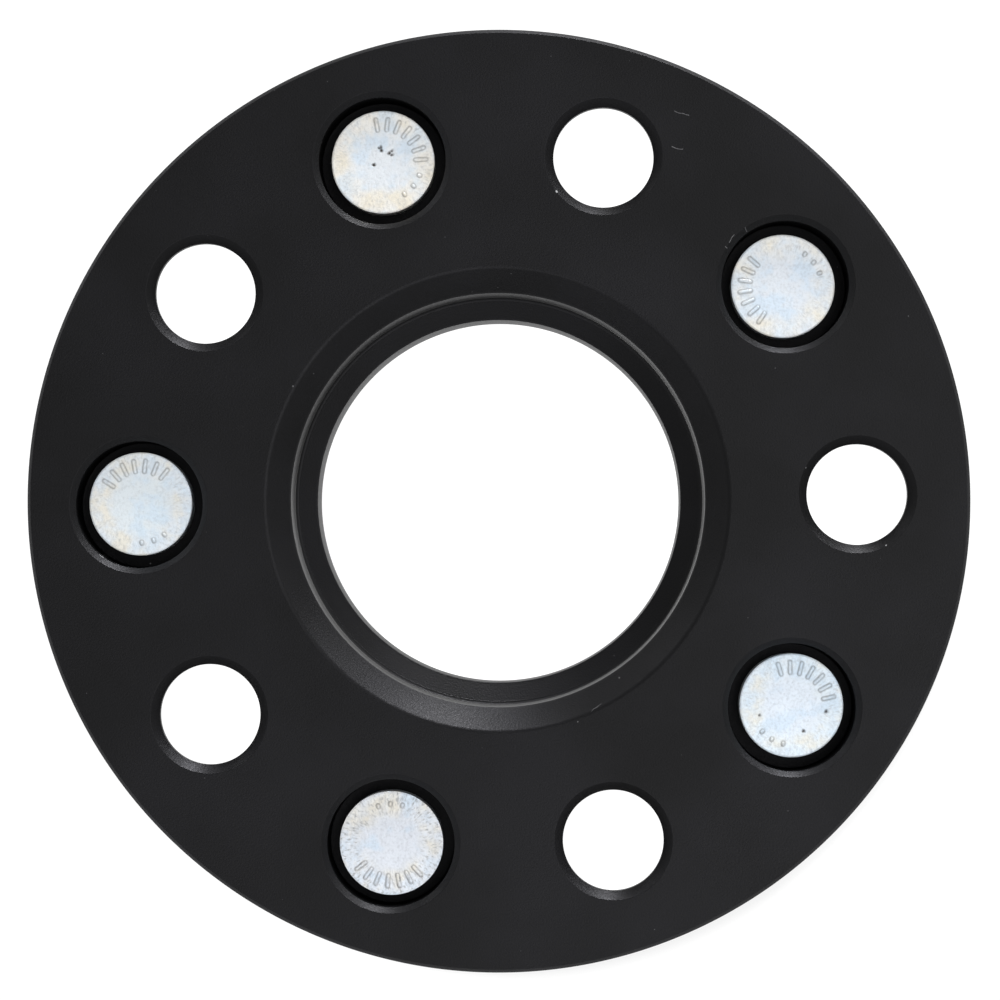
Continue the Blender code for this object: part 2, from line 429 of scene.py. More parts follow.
@dataclass(frozen=True)
class Section:
    """A section to be turned round an axis, with the solid on the right of its direction of travel."""

    name: str
    corners: tuple[Corner, ...]
    round_steps: int = 3

    def arc(self, before: Vector, corner: Corner, after: Vector) -> list[Vector]:
        """Rounds one corner.

        Args:
            before: The corner before it.
            corner: The corner to round.
            after: The corner after it.

        Returns:
            Points along the round, or the corner itself where it stays sharp.
        """
        tip = Vector((corner.radius, corner.height))
        if not corner.edge:
            return [tip]
        back, forth = (before - tip).normalized(), (after - tip).normalized()
        half = back.angle(forth) / 2
        centre = tip + (back + forth).normalized() * corner.edge / math.sin(half)
        first = tip + back * corner.edge / math.tan(half) - centre
        turn = (math.pi - 2 * half) / self.round_steps
        if back.x * forth.y - back.y * forth.x > 0:
            turn = -turn
        return [centre + Matrix.Rotation(turn * step, 2) @ first for step in range(self.round_steps + 1)]

    def points(self) -> list[Vector]:
        """Gives the section's points in order, with its corners rounded and its stretches divided.

        Returns:
            The points.
        """
        tips = [Vector((corner.radius, corner.height)) for corner in self.corners]
        found: list[Vector] = []
        for place, corner in enumerate(self.corners):
            inner = 0 < place < len(tips) - 1
            bend = self.arc(tips[place - 1], corner, tips[place + 1]) if inner else [tips[place]]
            rows = self.corners[place - 1].rows if place else 1
            found += [found[-1].lerp(bend[0], row / rows) for row in range(1, rows)]
            found += bend
        return found

    def mesh(self) -> bpy.types.Mesh:
        """Gives the section's points as the vertices of a mesh, in the plane of X and Z.

        Returns:
            The mesh.
        """
        made = bpy.data.meshes.new(self.name)
        made.from_pydata([(point.x, 0.0, point.y) for point in self.points()], [], [])
        return made

    def guide(self) -> bpy.types.Object:
        """Gives the section as an object that a Geometry Nodes tree can read."""
        return link_object(self.name, self.mesh())


@dataclass(frozen=True)
class Datum:
    """Heights, radii and places that the frame gives.

    Attributes:
        hub_face: Height of the face that bolts to the hub.
        wheel_face: Height of the face that the wheel sits on.
        lip_end: Height of the lip's end.
        plate_radius: Radius of the body's rim.
        head_top: Height of the stud heads.
        stud_axes: Place of each stud's axis.
    """

    hub_face: float
    wheel_face: float
    lip_end: float
    plate_radius: float
    head_top: float
    stud_axes: tuple[Vector, ...]

    @classmethod
    def read(cls) -> "Datum":
        """Reads the frame.

        Returns:
            The datum that every piece is built from.
        """
        low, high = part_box("spacer_body")
        mounts = {mount["name"]: mount["pos_m"] for mount in frame["record"]["mounts"]}
        boxes = [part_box(node) for node in sorted(frame["nodes"]) if node.startswith("wheel_stud")]
        return cls(
            hub_face=mounts["hub_face"][2],
            wheel_face=mounts["wheel_face"][2],
            lip_end=low.z,
            plate_radius=(high.x - low.x) / 2,
            head_top=boxes[0][1].z,
            stud_axes=tuple(Vector(((a.x + b.x) / 2, (a.y + b.y) / 2, 0.0)) for a, b in boxes),
        )

    @property
    def circle_radius(self) -> float:
        """Radius of the bolt circle."""
        return self.stud_axes[0].length

    @property
    def stud_angle(self) -> float:
        """Angle of the first stud from +X."""
        return math.atan2(self.stud_axes[0].y, self.stud_axes[0].x)

    @property
    def lug_angle(self) -> float:
        """Angle of the first lug hole from +X, half a step before the first stud."""
        return self.stud_angle - math.pi / len(self.stud_axes)


def turned_surface_tree() -> bpy.types.NodeTree:
    """Makes the tree that turns a section's points round the Z axis, in a number of facets.

    Returns:
        The tree.
    """
    nodes, given = new_tree("Turned surface", facets="Int")
    rows = nodes.add("GeometryNodeAttributeDomainSize", inputs={"Geometry": given["Geometry"]})
    around = nodes.add("FunctionNodeIntegerMath", {"operation": "ADD"}, {0: given["Facets"], 1: 1})
    grid = nodes.add("GeometryNodeMeshGrid", inputs={"Vertices X": rows, "Vertices Y": around})
    index = nodes.add("GeometryNodeInputIndex")
    row, column = (
        nodes.add("FunctionNodeIntegerMath", {"operation": operation}, {0: index, 1: around})
        for operation in ("DIVIDE_FLOOR", "MODULO")
    )
    angle = nodes.maths("MULTIPLY", nodes.maths("DIVIDE", column, given["Facets"]), math.tau)
    corner = nodes.add("GeometryNodeSampleIndex", {"data_type": "FLOAT_VECTOR"}, {
        "Geometry": given["Geometry"], "Value": nodes.add("GeometryNodeInputPosition"), "Index": row,
    })
    turned = nodes.add(
        "ShaderNodeVectorRotate", {"rotation_type": "Z_AXIS"}, {"Vector": corner, "Angle": angle}
    )
    placed = nodes.add("GeometryNodeSetPosition", inputs={"Geometry": grid, "Position": turned})
    return nodes.give(nodes.welded(placed, WELD))


def level_face_tree() -> bpy.types.NodeTree:
    """Makes the tree that fills the open edges at one height with a level face.

    Returns:
        The tree.
    """
    one_or_two_faces = 1.5
    nodes, given = new_tree("Level face", height="Float")
    surface = Surface.read(nodes, nodes.add("GeometryNodeInputPosition").outputs[0])
    at_height = nodes.maths("COMPARE", surface.height, given["Height"], WELD)
    is_open = nodes.maths("LESS_THAN", nodes.add("GeometryNodeInputMeshEdgeNeighbors"), one_or_two_faces)
    outline = nodes.add("GeometryNodeMeshToCurve", inputs={
        "Mesh": given["Geometry"], "Selection": nodes.maths("MULTIPLY", at_height, is_open),
    })
    filled = nodes.add("GeometryNodeFillCurve", inputs={"Curve": outline})
    lift = nodes.upright(given["Height"])
    raised = nodes.add("GeometryNodeTransform", inputs={"Geometry": filled, "Translation": lift})
    return nodes.give(raised)


def round_pattern_tree() -> bpy.types.NodeTree:
    """Makes the tree that repeats geometry round a circle about the Z axis, from a first angle.

    Returns:
        The tree.
    """
    nodes, given = new_tree("Round pattern", count="Int", radius="Float", first_angle="Float")
    points = nodes.add("GeometryNodeMeshCircle", inputs={
        "Vertices": given["Count"], "Radius": given["Radius"],
    })
    share = nodes.maths("DIVIDE", nodes.add("GeometryNodeInputIndex"), given["Count"])
    copies = nodes.add("GeometryNodeInstanceOnPoints", inputs={
        "Points": points, "Instance": given["Geometry"],
        "Rotation": nodes.upright(nodes.maths("MULTIPLY", share, math.tau)),
    })
    turned = nodes.add("GeometryNodeTransform", inputs={
        "Geometry": nodes.realised(copies), "Rotation": nodes.upright(given["First Angle"]),
    })
    return nodes.give(turned)


def tick_arc_tree() -> bpy.types.NodeTree:
    """Makes the tree that spreads plain radial ticks along an arc.

    Returns:
        The tree.
    """
    nodes, given = new_tree(
        "Tick arc", count="Int", inner="Float", outer="Float", height="Float", middle="Float",
        spread="Float",
    )
    points = nodes.add("GeometryNodeMeshLine", inputs={"Count": given["Count"], "Offset": (0.0, 0.0, 0.0)})
    length = nodes.maths("SUBTRACT", given["Outer"], given["Inner"])
    start = nodes.add("ShaderNodeCombineXYZ", inputs={"X": given["Inner"], "Z": given["Height"]})
    offset = nodes.add("ShaderNodeCombineXYZ", inputs={"X": length})
    tick = nodes.add("GeometryNodeMeshLine", inputs={"Count": 2, "Start Location": start, "Offset": offset})
    gaps = nodes.maths("SUBTRACT", given["Count"], 1.0)
    share = nodes.maths("DIVIDE", nodes.add("GeometryNodeInputIndex"), gaps)
    centred = nodes.maths("SUBTRACT", share, 0.5)
    copies = nodes.add("GeometryNodeInstanceOnPoints", inputs={
        "Points": points, "Instance": tick,
        "Rotation": nodes.upright(nodes.maths("MULTIPLY_ADD", centred, given["Spread"], given["Middle"])),
    })
    return nodes.give(nodes.realised(copies))


@dataclass(frozen=True)
class Toolbox:
    """The Geometry Nodes trees that the pieces share."""

    turned_surface: bpy.types.NodeTree = field(default_factory=turned_surface_tree)
    level_face: bpy.types.NodeTree = field(default_factory=level_face_tree)
    round_pattern: bpy.types.NodeTree = field(default_factory=round_pattern_tree)
    tick_arc: bpy.types.NodeTree = field(default_factory=tick_arc_tree)


@dataclass(frozen=True)
class Nick:
    """A chip in the anodising on the edge of a lug hole.

    Attributes:
        hole: Number of the lug hole, counted from the first.
        bearing: Direction from the hole's axis, in degrees from +X.
        reach: Distance from the hole's axis.
        width: Width of the chip.
    """

    hole: int
    bearing: float
    reach: float
    width: float


@dataclass(frozen=True)
class Lint:
    """A fibre or a speck of dust that lies on the body.

    Attributes:
        start: Where it starts.
        end: Where it ends, the same place for a speck.
        width: How wide it is.
    """

    start: tuple[float, float]
    end: tuple[float, float]
    width: float


@dataclass(frozen=True)
class AnodisedBlack:
    """Black anodised aluminium, turned and milled and then etched before dyeing.

    The dyed oxide keeps a metal's tinted reflection but takes nearly all the light, so the eye gets a
    satin black that shows soft grey sheens where it turns towards a lamp. The etch leaves a fine grain.
    Its methods add nodes to a surface, and give a node that says how much of a feature is there.
    """

    recess_radius: float
    recess_floor: float
    recess_top: float
    hub_face: float
    circle_radius: float
    pocket_reach: float
    nicks: tuple[tuple[Vector, float], ...]
    lint: tuple[Lint, ...]
    name: str = "anodised_aluminium_satin_black"
    deep: str = "#2A2A2B"
    pale: str = "#2F2F31"
    black: str = "#000000"
    dust: str = "#747476"
    bare: str = "#B9BABC"
    roughness: float = 0.46
    roughness_spread: float = 0.05
    cloud: float = 26.0 * MM
    cloud_range: tuple[float, float] = (0.35, 0.65)
    grain: float = 0.30 * MM
    grain_range: tuple[float, float] = (0.3, 0.7)
    feed: float = 0.30 * MM
    grain_depth: float = 0.032 * MM
    feed_depth: float = 0.003 * MM
    floor_lean: float = 27.5 * DEGREE
    lean_end: float = 0.5 * MM
    wall_lean: float = 14.0 * DEGREE
    wall_dust: float = 0.5
    corner_dust: float = 1.0
    wall_dust_roughness: float = 0.4
    wall_foot: float = 0.7 * MM
    pocket_shade: float = 0.5
    pocket_shade_starts: float = 1.5 * MM
    pocket_shade_full: float = 5.0 * MM
    speck_spacing: float = 2.1 * MM
    speck_radius: float = 0.13 * MM
    speck_strength: float = 0.65
    speck_least_chance: float = 0.45
    lint_bend: float = 0.5 * MM

    def recess(self, skin: Surface) -> bpy.types.Node:
        """Finds the recess's floor and wall.

        Args:
            skin: The body's surface.

        Returns:
            A node that gives 1 there.
        """
        inside = skin.maths("LESS_THAN", skin.reach, self.recess_radius + self.feed)
        above = skin.maths("GREATER_THAN", skin.height, self.recess_floor - WELD)
        return skin.maths("MULTIPLY", inside, above)

    def dusty_wall(self, skin: Surface) -> bpy.types.Node:
        """Lays fine dust on the recess's wall, thickest in the corner under it.

        Args:
            skin: The body's surface.

        Returns:
            A node that gives how dusty the wall is.
        """
        foot, corner = self.wall_foot, self.recess_floor + self.wall_foot
        gathered = skin.ramp(skin.height, corner, corner + 2 * foot, self.corner_dust, self.wall_dust)
        wall = skin.ramp(
            skin.reach, self.recess_radius - foot, self.recess_radius - self.feed / 2, high=gathered
        )
        below = skin.ramp(
            skin.height, self.recess_top + self.feed, self.recess_top, high=self.recess(skin)
        )
        return skin.maths("MULTIPLY", wall, below)

    def leaning_marks(self, skin: Surface) -> bpy.types.Node:
        """Gives the height of a slope that leans as the flanks of the recess's feed marks do.

        A boring bar leaves a saw-toothed surface, too fine to draw tooth by tooth, whose long flanks lean
        towards the opening. That is taken as the reason why the photo's recess is brighter than a smooth
        one would be. The angles are fitted to how bright it is.

        Args:
            skin: The body's surface.

        Returns:
            A node that gives the slope's height.
        """
        lean_radius, depth = self.recess_radius - self.lean_end, self.recess_top - self.recess_floor
        from_wall = skin.ramp(skin.reach, 0.0, lean_radius, -lean_radius * math.tan(self.floor_lean), 0.0)
        from_top = skin.ramp(
            skin.height, self.recess_floor, self.recess_top, depth * math.tan(self.wall_lean), 0.0
        )
        return skin.maths("MULTIPLY", skin.maths("ADD", from_wall, from_top), self.recess(skin))

    def painted_pocket_shade(self, skin: Surface) -> bpy.types.Node:
        """Finds the depths round the bolt circle, the pocket round each stud head among them, where shade
        is painted in as darker colour.

        Args:
            skin: The body's surface.

        Returns:
            A node that gives up to 1 deep in a pocket.
        """
        from_circle = skin.maths("SUBTRACT", skin.reach, self.circle_radius)
        near = skin.maths("COMPARE", from_circle, 0.0, self.pocket_reach)
        return skin.soft_ramp(
            skin.height, self.hub_face - self.pocket_shade_starts, self.hub_face - self.pocket_shade_full,
            high=near,
        )

    def specks(self, skin: Surface) -> bpy.types.Node:
        """Strews fine dust: a speck in some of the cells of a random net.

        Args:
            skin: The body's surface.

        Returns:
            A node that gives more than 0 on a speck.
        """
        share = self.speck_radius / self.speck_spacing
        cells = skin.add("ShaderNodeTexVoronoi", inputs={
            "Vector": skin.place, "Scale": 1 / self.speck_spacing,
        })
        chance = skin.add("ShaderNodeSeparateXYZ", inputs={"Vector": cells.outputs["Color"]})
        size = skin.ramp(chance, self.speck_least_chance, 1.0, -share, share)
        depth = skin.maths("SUBTRACT", size, cells)
        return skin.soft_ramp(depth, 0.0, share / 2, high=self.speck_strength)

    def chips(self, skin: Surface) -> bpy.types.Node:
        """Bares the aluminium at the chipped edges."""
        return skin.spots([
            (skin.vectors("DISTANCE", skin.place, centre), width / 2, width / 4)
            for centre, width in self.nicks
        ])

    def fibres(self, skin: Surface) -> bpy.types.Node:
        """Lays the lint: strokes seen from above, of which the long ones are bent.

        Args:
            skin: The body's surface.

        Returns:
            A node that gives 1 on a fibre.
        """
        sway = skin.noise(skin.place, 2 * self.lint_bend, 0.0).outputs["Color"]
        bend = skin.vectors("MULTIPLY_ADD", sway, (self.lint_bend,) * 3, (-self.lint_bend / 2,) * 3)
        bent = skin.vectors("ADD", skin.place, bend)
        strokes = []
        for stroke in self.lint:
            start, end = Vector((*stroke.start, 0.0)), Vector((*stroke.end, 0.0))
            span = end - start
            from_start = skin.vectors("SUBTRACT", bent if span.length else skin.place, start)
            level = skin.vectors("MULTIPLY", from_start, (1.0, 1.0, 0.0))
            along = skin.vectors("DOT_PRODUCT", level, span / max(span.length_squared, WELD * WELD))
            nearest = skin.scaled(span, skin.ramp(along, 0.0, 1.0))
            strokes.append((skin.vectors("DISTANCE", level, nearest), stroke.width, stroke.width / 4))
        return skin.spots(strokes)

    def make(self) -> bpy.types.Material:
        """Makes the material.

        Returns:
            The material.
        """
        material, nodes, shader = new_material(self.name)
        skin = Surface.read(nodes, nodes.add("ShaderNodeTexCoord").outputs["Object"])
        cloud = skin.noise(skin.place, self.cloud, 3.0)
        paint = skin.coats(self.deep, [
            (skin.ramp(cloud, *self.cloud_range), self.pale),
            # Painted shade: the depths round the bolt circle are darkened towards black.
            (skin.maths("MULTIPLY", self.painted_pocket_shade(skin), self.pocket_shade), self.black),
            (skin.maths("MAXIMUM", self.specks(skin), self.fibres(skin)), self.dust),
            (self.chips(skin), self.bare),
        ])
        grain = skin.noise(skin.place, self.grain, 2.0)
        least, most = self.roughness - self.roughness_spread, self.roughness + self.roughness_spread
        travel = skin.maths("ADD", skin.reach, skin.height)
        marks = skin.add("ShaderNodeTexNoise", {"noise_dimensions": "1D"}, {
            "W": skin.maths("DIVIDE", travel, self.feed), "Scale": 1.0, "Detail": 1.0,
        })
        relief = skin.maths("MULTIPLY_ADD", marks, self.feed_depth, self.leaning_marks(skin))
        skin.feed(shader, {
            "Metallic": 1.0,
            "Base Color": paint,
            "Roughness": skin.ramp(grain, *self.grain_range, least, most),
            "Sheen Weight": self.dusty_wall(skin),
            "Sheen Roughness": self.wall_dust_roughness,
            "Normal": skin.bump(grain, self.grain_depth, skin.bump(relief, 1.0)),
        })
        return material


@dataclass
class SpacerBody:
    """The spacer body: one turned blank, drilled for the vehicle's studs and for its own.

    Its sizes are those of the solid that it stands for. Edges that are sharp there have a fine round, and
    the mouth of the recess has a wider one, fitted to the photo.
    """

    datum: Datum
    tools: Toolbox
    rim_break: float = 0.6 * MM
    hub_spigot: float = 66.1 * MM
    recess_clearance: float = 0.1 * MM
    recess_chamfer: float = 3.6 * MM
    recess_fillet: float = 0.6 * MM
    ledge_thickness: float = 3.0 * MM
    ledge_width: float = 3.6 * MM
    lip_clearance: float = 0.1 * MM
    lip_lead_in: float = 0.8 * MM
    lip_lead_in_height: float = 1.6 * MM
    lip_inner_break: float = 1.0 * MM
    relief_width: float = 1.2 * MM
    relief_depth: float = 0.4 * MM
    lug_radius: float = 8.0 * MM
    lug_chamfer: float = 1.35 * MM
    lug_land: float = 1.2 * MM
    nut_seat_angle: float = 60.0 * DEGREE
    nut_seat_width: float = 2.6 * MM
    nut_pocket_step: float = 2.7 * MM
    nut_pocket_break: float = 0.5 * MM
    head_pocket_radius: float = 10.15 * MM
    head_pocket_depth: float = 6.5 * MM
    head_pocket_chamfer: float = 0.9 * MM
    stud_bore_radius: float = 6.95 * MM
    stud_bore_break: float = 0.6 * MM
    fine_edge: float = 0.12 * MM
    mouth_round: float = 1.1 * MM
    pocket_fillet: float = 0.3 * MM
    land: float = 0.2 * MM
    plate_facets: int = 360
    hole_facets: int = 96
    crease: float = 35.0 * DEGREE
    nicks: tuple[Nick, ...] = (
        Nick(hole=1, bearing=217.0, reach=9.3 * MM, width=0.55 * MM),
        Nick(hole=0, bearing=153.0, reach=9.1 * MM, width=0.5 * MM),
        Nick(hole=0, bearing=-61.0, reach=9.1 * MM, width=0.55 * MM),
    )
    lint: tuple[Lint, ...] = (
        Lint((19.5 * MM, -28.3 * MM), (19.5 * MM, -28.3 * MM), 0.17 * MM),
        Lint((12.9 * MM, -35.2 * MM), (12.9 * MM, -35.2 * MM), 0.15 * MM),
        Lint((-32.6 * MM, 17.9 * MM), (-32.6 * MM, 17.9 * MM), 0.20 * MM),
        Lint((27.5 * MM, 56.2 * MM), (29.2 * MM, 55.9 * MM), 0.09 * MM),
        Lint((28.0 * MM, 61.9 * MM), (30.3 * MM, 61.2 * MM), 0.08 * MM),
        Lint((15.2 * MM, -33.6 * MM), (16.6 * MM, -32.4 * MM), 0.06 * MM),
        Lint((36.2 * MM, 40.2 * MM), (36.4 * MM, 40.0 * MM), 0.12 * MM),
        Lint((36.8 * MM, 41.0 * MM), (37.4 * MM, 42.3 * MM), 0.07 * MM),
        Lint((39.2 * MM, 43.4 * MM), (39.6 * MM, 42.8 * MM), 0.07 * MM),
        Lint((-63.5 * MM, -8.9 * MM), (-62.9 * MM, -9.5 * MM), 0.11 * MM),
        Lint((-56.1 * MM, -10.4 * MM), (-56.1 * MM, -10.4 * MM), 0.16 * MM),
    )

    @property
    def recess_radius(self) -> float:
        """Radius of the hub recess."""
        return self.hub_spigot / 2 + self.recess_clearance

    @property
    def bore_radius(self) -> float:
        """Radius of the through bore."""
        return self.recess_radius - self.ledge_width

    @property
    def lip_radius(self) -> float:
        """Radius of the lip that centres the wheel."""
        return self.hub_spigot / 2 - self.lip_clearance

    def rim_section(self) -> Section:
        """Section of the rim, from the hub face down.

        Returns:
            The section.
        """
        outer, inner = self.datum.plate_radius, self.datum.plate_radius - self.rim_break
        top, bottom = self.datum.hub_face, self.datum.wheel_face
        return Section("rim_section", (
            Corner(inner - self.land, top),
            Corner(inner, top, self.fine_edge),
            Corner(outer, top - self.rim_break, self.fine_edge),
            Corner(outer, bottom + self.rim_break, self.fine_edge),
            Corner(inner, bottom, self.fine_edge),
            Corner(inner - self.land, bottom),
        ))

    def bore_section(self) -> Section:
        """Section of the lip, the bore and the recess, from the wheel face to the hub face.

        Returns:
            The section.
        """
        top, bottom, end = self.datum.hub_face, self.datum.wheel_face, self.datum.lip_end
        floor = bottom + self.ledge_thickness
        relief = self.lip_radius + self.relief_width
        mouth = self.recess_radius + self.recess_chamfer
        return Section("bore_section", (
            Corner(relief + self.relief_depth + self.land, bottom),
            Corner(relief + self.relief_depth, bottom, self.fine_edge),
            Corner(relief, bottom + self.relief_depth, self.fine_edge),
            Corner(self.lip_radius, bottom + self.relief_depth, self.fine_edge),
            Corner(self.lip_radius, end + self.lip_lead_in_height, self.fine_edge),
            Corner(self.lip_radius - self.lip_lead_in, end, self.fine_edge),
            Corner(self.bore_radius + self.lip_inner_break, end, self.fine_edge),
            Corner(self.bore_radius, end + self.lip_inner_break, self.fine_edge),
            Corner(self.bore_radius, floor, 2 * self.fine_edge),
            Corner(self.recess_radius, floor, self.recess_fillet),
            Corner(self.recess_radius, top - self.recess_chamfer, self.fine_edge),
            Corner(mouth, top, self.mouth_round),
            Corner(mouth + self.mouth_round / 2, top),
        ), round_steps=6)

    def lug_section(self) -> Section:
        """Section of a lug hole: nut pocket, conical seat, land and chamfer, from the wheel face up.

        Returns:
            The section.
        """
        top, bottom = self.datum.hub_face, self.datum.wheel_face
        seat_radius = self.lug_radius + self.nut_seat_width
        pocket_radius = seat_radius + self.nut_pocket_step
        land_bottom = top - self.lug_chamfer - self.lug_land
        floor = land_bottom - self.nut_seat_width / math.tan(self.nut_seat_angle / 2)
        return Section("lug_section", (
            Corner(pocket_radius + self.nut_pocket_break + self.land, bottom),
            Corner(pocket_radius + self.nut_pocket_break, bottom, self.fine_edge),
            Corner(pocket_radius, bottom + self.nut_pocket_break, self.fine_edge),
            Corner(pocket_radius, floor, self.pocket_fillet),
            Corner(seat_radius, floor, self.fine_edge),
            Corner(self.lug_radius, land_bottom, self.fine_edge),
            Corner(self.lug_radius, top - self.lug_chamfer, self.fine_edge),
            Corner(self.lug_radius + self.lug_chamfer, top, self.fine_edge),
            Corner(self.lug_radius + self.lug_chamfer + self.land, top),
        ))

    def stud_bore_section(self) -> Section:
        """Section of a stud's bore: the bore that the splines bite into, and the pocket for the head.

        Returns:
            The section.
        """
        top, bottom = self.datum.hub_face, self.datum.wheel_face
        floor = top - self.head_pocket_depth
        mouth = self.head_pocket_radius + self.head_pocket_chamfer
        return Section("stud_bore_section", (
            Corner(self.stud_bore_radius + self.stud_bore_break + self.land, bottom),
            Corner(self.stud_bore_radius + self.stud_bore_break, bottom, self.fine_edge),
            Corner(self.stud_bore_radius, bottom + self.stud_bore_break, self.fine_edge),
            Corner(self.stud_bore_radius, floor, self.fine_edge),
            Corner(self.head_pocket_radius, floor, self.pocket_fillet),
            Corner(self.head_pocket_radius, top - self.head_pocket_chamfer, self.fine_edge),
            Corner(mouth, top, self.fine_edge),
            Corner(mouth + self.land, top),
        ))

    def tree(self, guides: list[bpy.types.Object]) -> bpy.types.NodeTree:
        """Makes the tree that turns the blank, drills it and closes its two faces.

        Args:
            guides: The sections of the rim, a lug hole and a stud's bore.

        Returns:
            A tree that starts from the bore's section.
        """
        nodes, given = new_tree("Drilled plate")
        rim, lug, stud_bore = (nodes.section(guide) for guide in guides)
        surfaces = [
            nodes.run(self.tools.turned_surface, geometry=section, facets=self.plate_facets)
            for section in (given["Geometry"], rim)
        ]
        for section, angle in ((lug, self.datum.lug_angle), (stud_bore, self.datum.stud_angle)):
            hole = nodes.run(self.tools.turned_surface, geometry=section, facets=self.hole_facets)
            surfaces.append(nodes.run(
                self.tools.round_pattern, geometry=hole, count=len(self.datum.stud_axes),
                radius=self.datum.circle_radius, first_angle=angle,
            ))
        walls = nodes.joined(surfaces)
        faces = [
            nodes.run(self.tools.level_face, geometry=walls, height=height)
            for height in (self.datum.hub_face, self.datum.wheel_face)
        ]
        return nodes.dressed(nodes.welded(nodes.joined([walls, *faces]), 2 * WELD), self.finish().make())

    def finish(self) -> AnodisedBlack:
        """Gives the body's finish, with its chips at their places on the lug holes' edges.

        Returns:
            The finish.
        """
        chips = []
        for nick in self.nicks:
            angle = self.datum.lug_angle + math.tau * nick.hole / len(self.datum.stud_axes)
            axis = Matrix.Rotation(angle, 3, "Z") @ Vector((self.datum.circle_radius, 0.0, 0.0))
            away = Matrix.Rotation(nick.bearing * DEGREE, 3, "Z") @ Vector((nick.reach, 0.0, 0.0))
            chips.append((axis + away + Vector((0.0, 0.0, self.datum.hub_face)), nick.width))
        return AnodisedBlack(
            recess_radius=self.recess_radius,
            recess_floor=self.datum.wheel_face + self.ledge_thickness,
            recess_top=self.datum.hub_face - self.recess_chamfer,
            hub_face=self.datum.hub_face,
            circle_radius=self.datum.circle_radius,
            pocket_reach=self.head_pocket_radius + self.head_pocket_chamfer,
            nicks=tuple(chips),
            lint=self.lint,
        )

    def build(self) -> bpy.types.Object:
        """Builds the body and hangs it on the frame.

        Returns:
            The body.
        """
        sections = (self.rim_section(), self.lug_section(), self.stud_bore_section())
        guides = [section.guide() for section in sections]
        body = grow("spacer_body_dressed", self.bore_section().mesh(), self.tree(guides), guides)
        crisp_edges(body.data, self.crease)
        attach(body, "root")
        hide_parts("spacer_body")
        return body


@dataclass(frozen=True)
class Pit:
    """A pit in a stud's head.

    Attributes:
        right: Distance from the head's centre along X.
        up: Distance from the head's centre along Y.
    """

    right: float
    up: float


@dataclass(frozen=True)
class ZincPlate:
    """Pale zinc plate, passivated blue, on forged steel.

    The plate scatters light like fine frost, so the eye gets a pale metal that is bluish in the middle of
    a head, where the film is thin, bluer still in patches, ivory round its edge, and dark in the pits
    that it hasn't reached. The same dark colour is painted round the foot of each raised mark as shade.
    """

    name: str
    core: str
    edge: str
    seed: float
    streak_strength: float
    ivory: str = "#E6DDC8"
    ivory_strength: float = 0.6
    blue: str = "#BFD6EA"
    blue_strength: float = 0.42
    shade: str = "#9C9EA0"
    shade_strength: float = 0.22
    pit: str = "#3A332C"
    metallic: float = 0.5
    roughness: float = 0.5
    roughness_spread: float = 0.12
    roughness_range: tuple[float, float] = (0.3, 0.7)
    streak_width: float = 0.26 * MM
    streak_length: float = 0.7 * MM
    streak_range: tuple[float, float] = (0.50, 0.75)
    core_radius: float = 4.9 * MM
    core_blend: float = 1.4 * MM
    film_patch: float = 3.2 * MM
    thick_film: tuple[float, float] = (0.50, 0.68)
    thin_film: tuple[float, float] = (0.50, 0.36)
    mottle: float = 0.45 * MM
    dull_mottle: tuple[float, float] = (0.52, 0.30)
    mottle_depth: float = 0.07 * MM
    frost: float = 0.2 * MM
    frost_depth: float = 0.012 * MM

    def streaks(self, skin: Surface) -> bpy.types.Node:
        """Draws the short radial cracks that the header left towards the edge.

        Args:
            skin: The stud's surface.

        Returns:
            A node that gives more than 0 on a crack.
        """
        around = skin.scaled(skin.vectors("NORMALIZE", skin.flat), self.core_radius / self.streak_width)
        travel = skin.maths("SUBTRACT", skin.reach, skin.height)
        along = skin.maths("ADD", skin.maths("DIVIDE", travel, self.streak_length), self.seed)
        return skin.ramp(skin.noise(around, 1.0, 2.0, along), *self.streak_range, high=self.streak_strength)

    def make(self) -> bpy.types.Material:
        """Makes the material.

        Returns:
            The material.
        """
        material, nodes, shader = new_material(self.name)
        place, grime = (
            nodes.add("ShaderNodeAttribute", {"attribute_name": name}).outputs[output]
            for name, output in (("from_axis", "Vector"), ("grime", "Fac"))
        )
        skin = Surface.read(nodes, place)
        film, mottle, frost = (
            skin.noise(place, size, 3.0, self.seed) for size in (self.film_patch, self.mottle, self.frost)
        )
        uneven_reach = skin.maths("MULTIPLY_ADD", film, 2 * self.core_blend, skin.reach)
        outer = skin.soft_ramp(uneven_reach, self.core_radius, self.core_radius + 2 * self.core_blend)
        thick = skin.ramp(film, *self.thick_film, high=self.ivory_strength)
        dull = skin.ramp(mottle, *self.dull_mottle, high=self.shade_strength)
        streaked = skin.maths("MULTIPLY", self.streaks(skin), outer)
        paint = skin.coats(self.core, [
            (outer, self.edge),
            (skin.maths("MULTIPLY", thick, outer), self.ivory),
            (skin.ramp(film, *self.thin_film, high=self.blue_strength), self.blue),
            (skin.maths("MAXIMUM", dull, streaked), self.shade),
            # The dark pits, and the painted shade round the foot of the raised marks, take this coat.
            (grime, self.pit),
        ])
        most, least = self.roughness + self.roughness_spread, self.roughness - self.roughness_spread
        skin.feed(shader, {
            "Metallic": self.metallic,
            "Base Color": paint,
            "Roughness": skin.ramp(mottle, *self.roughness_range, most, least),
            "Normal": skin.bump(frost, self.frost_depth, skin.bump(mottle, self.mottle_depth)),
        })
        return material


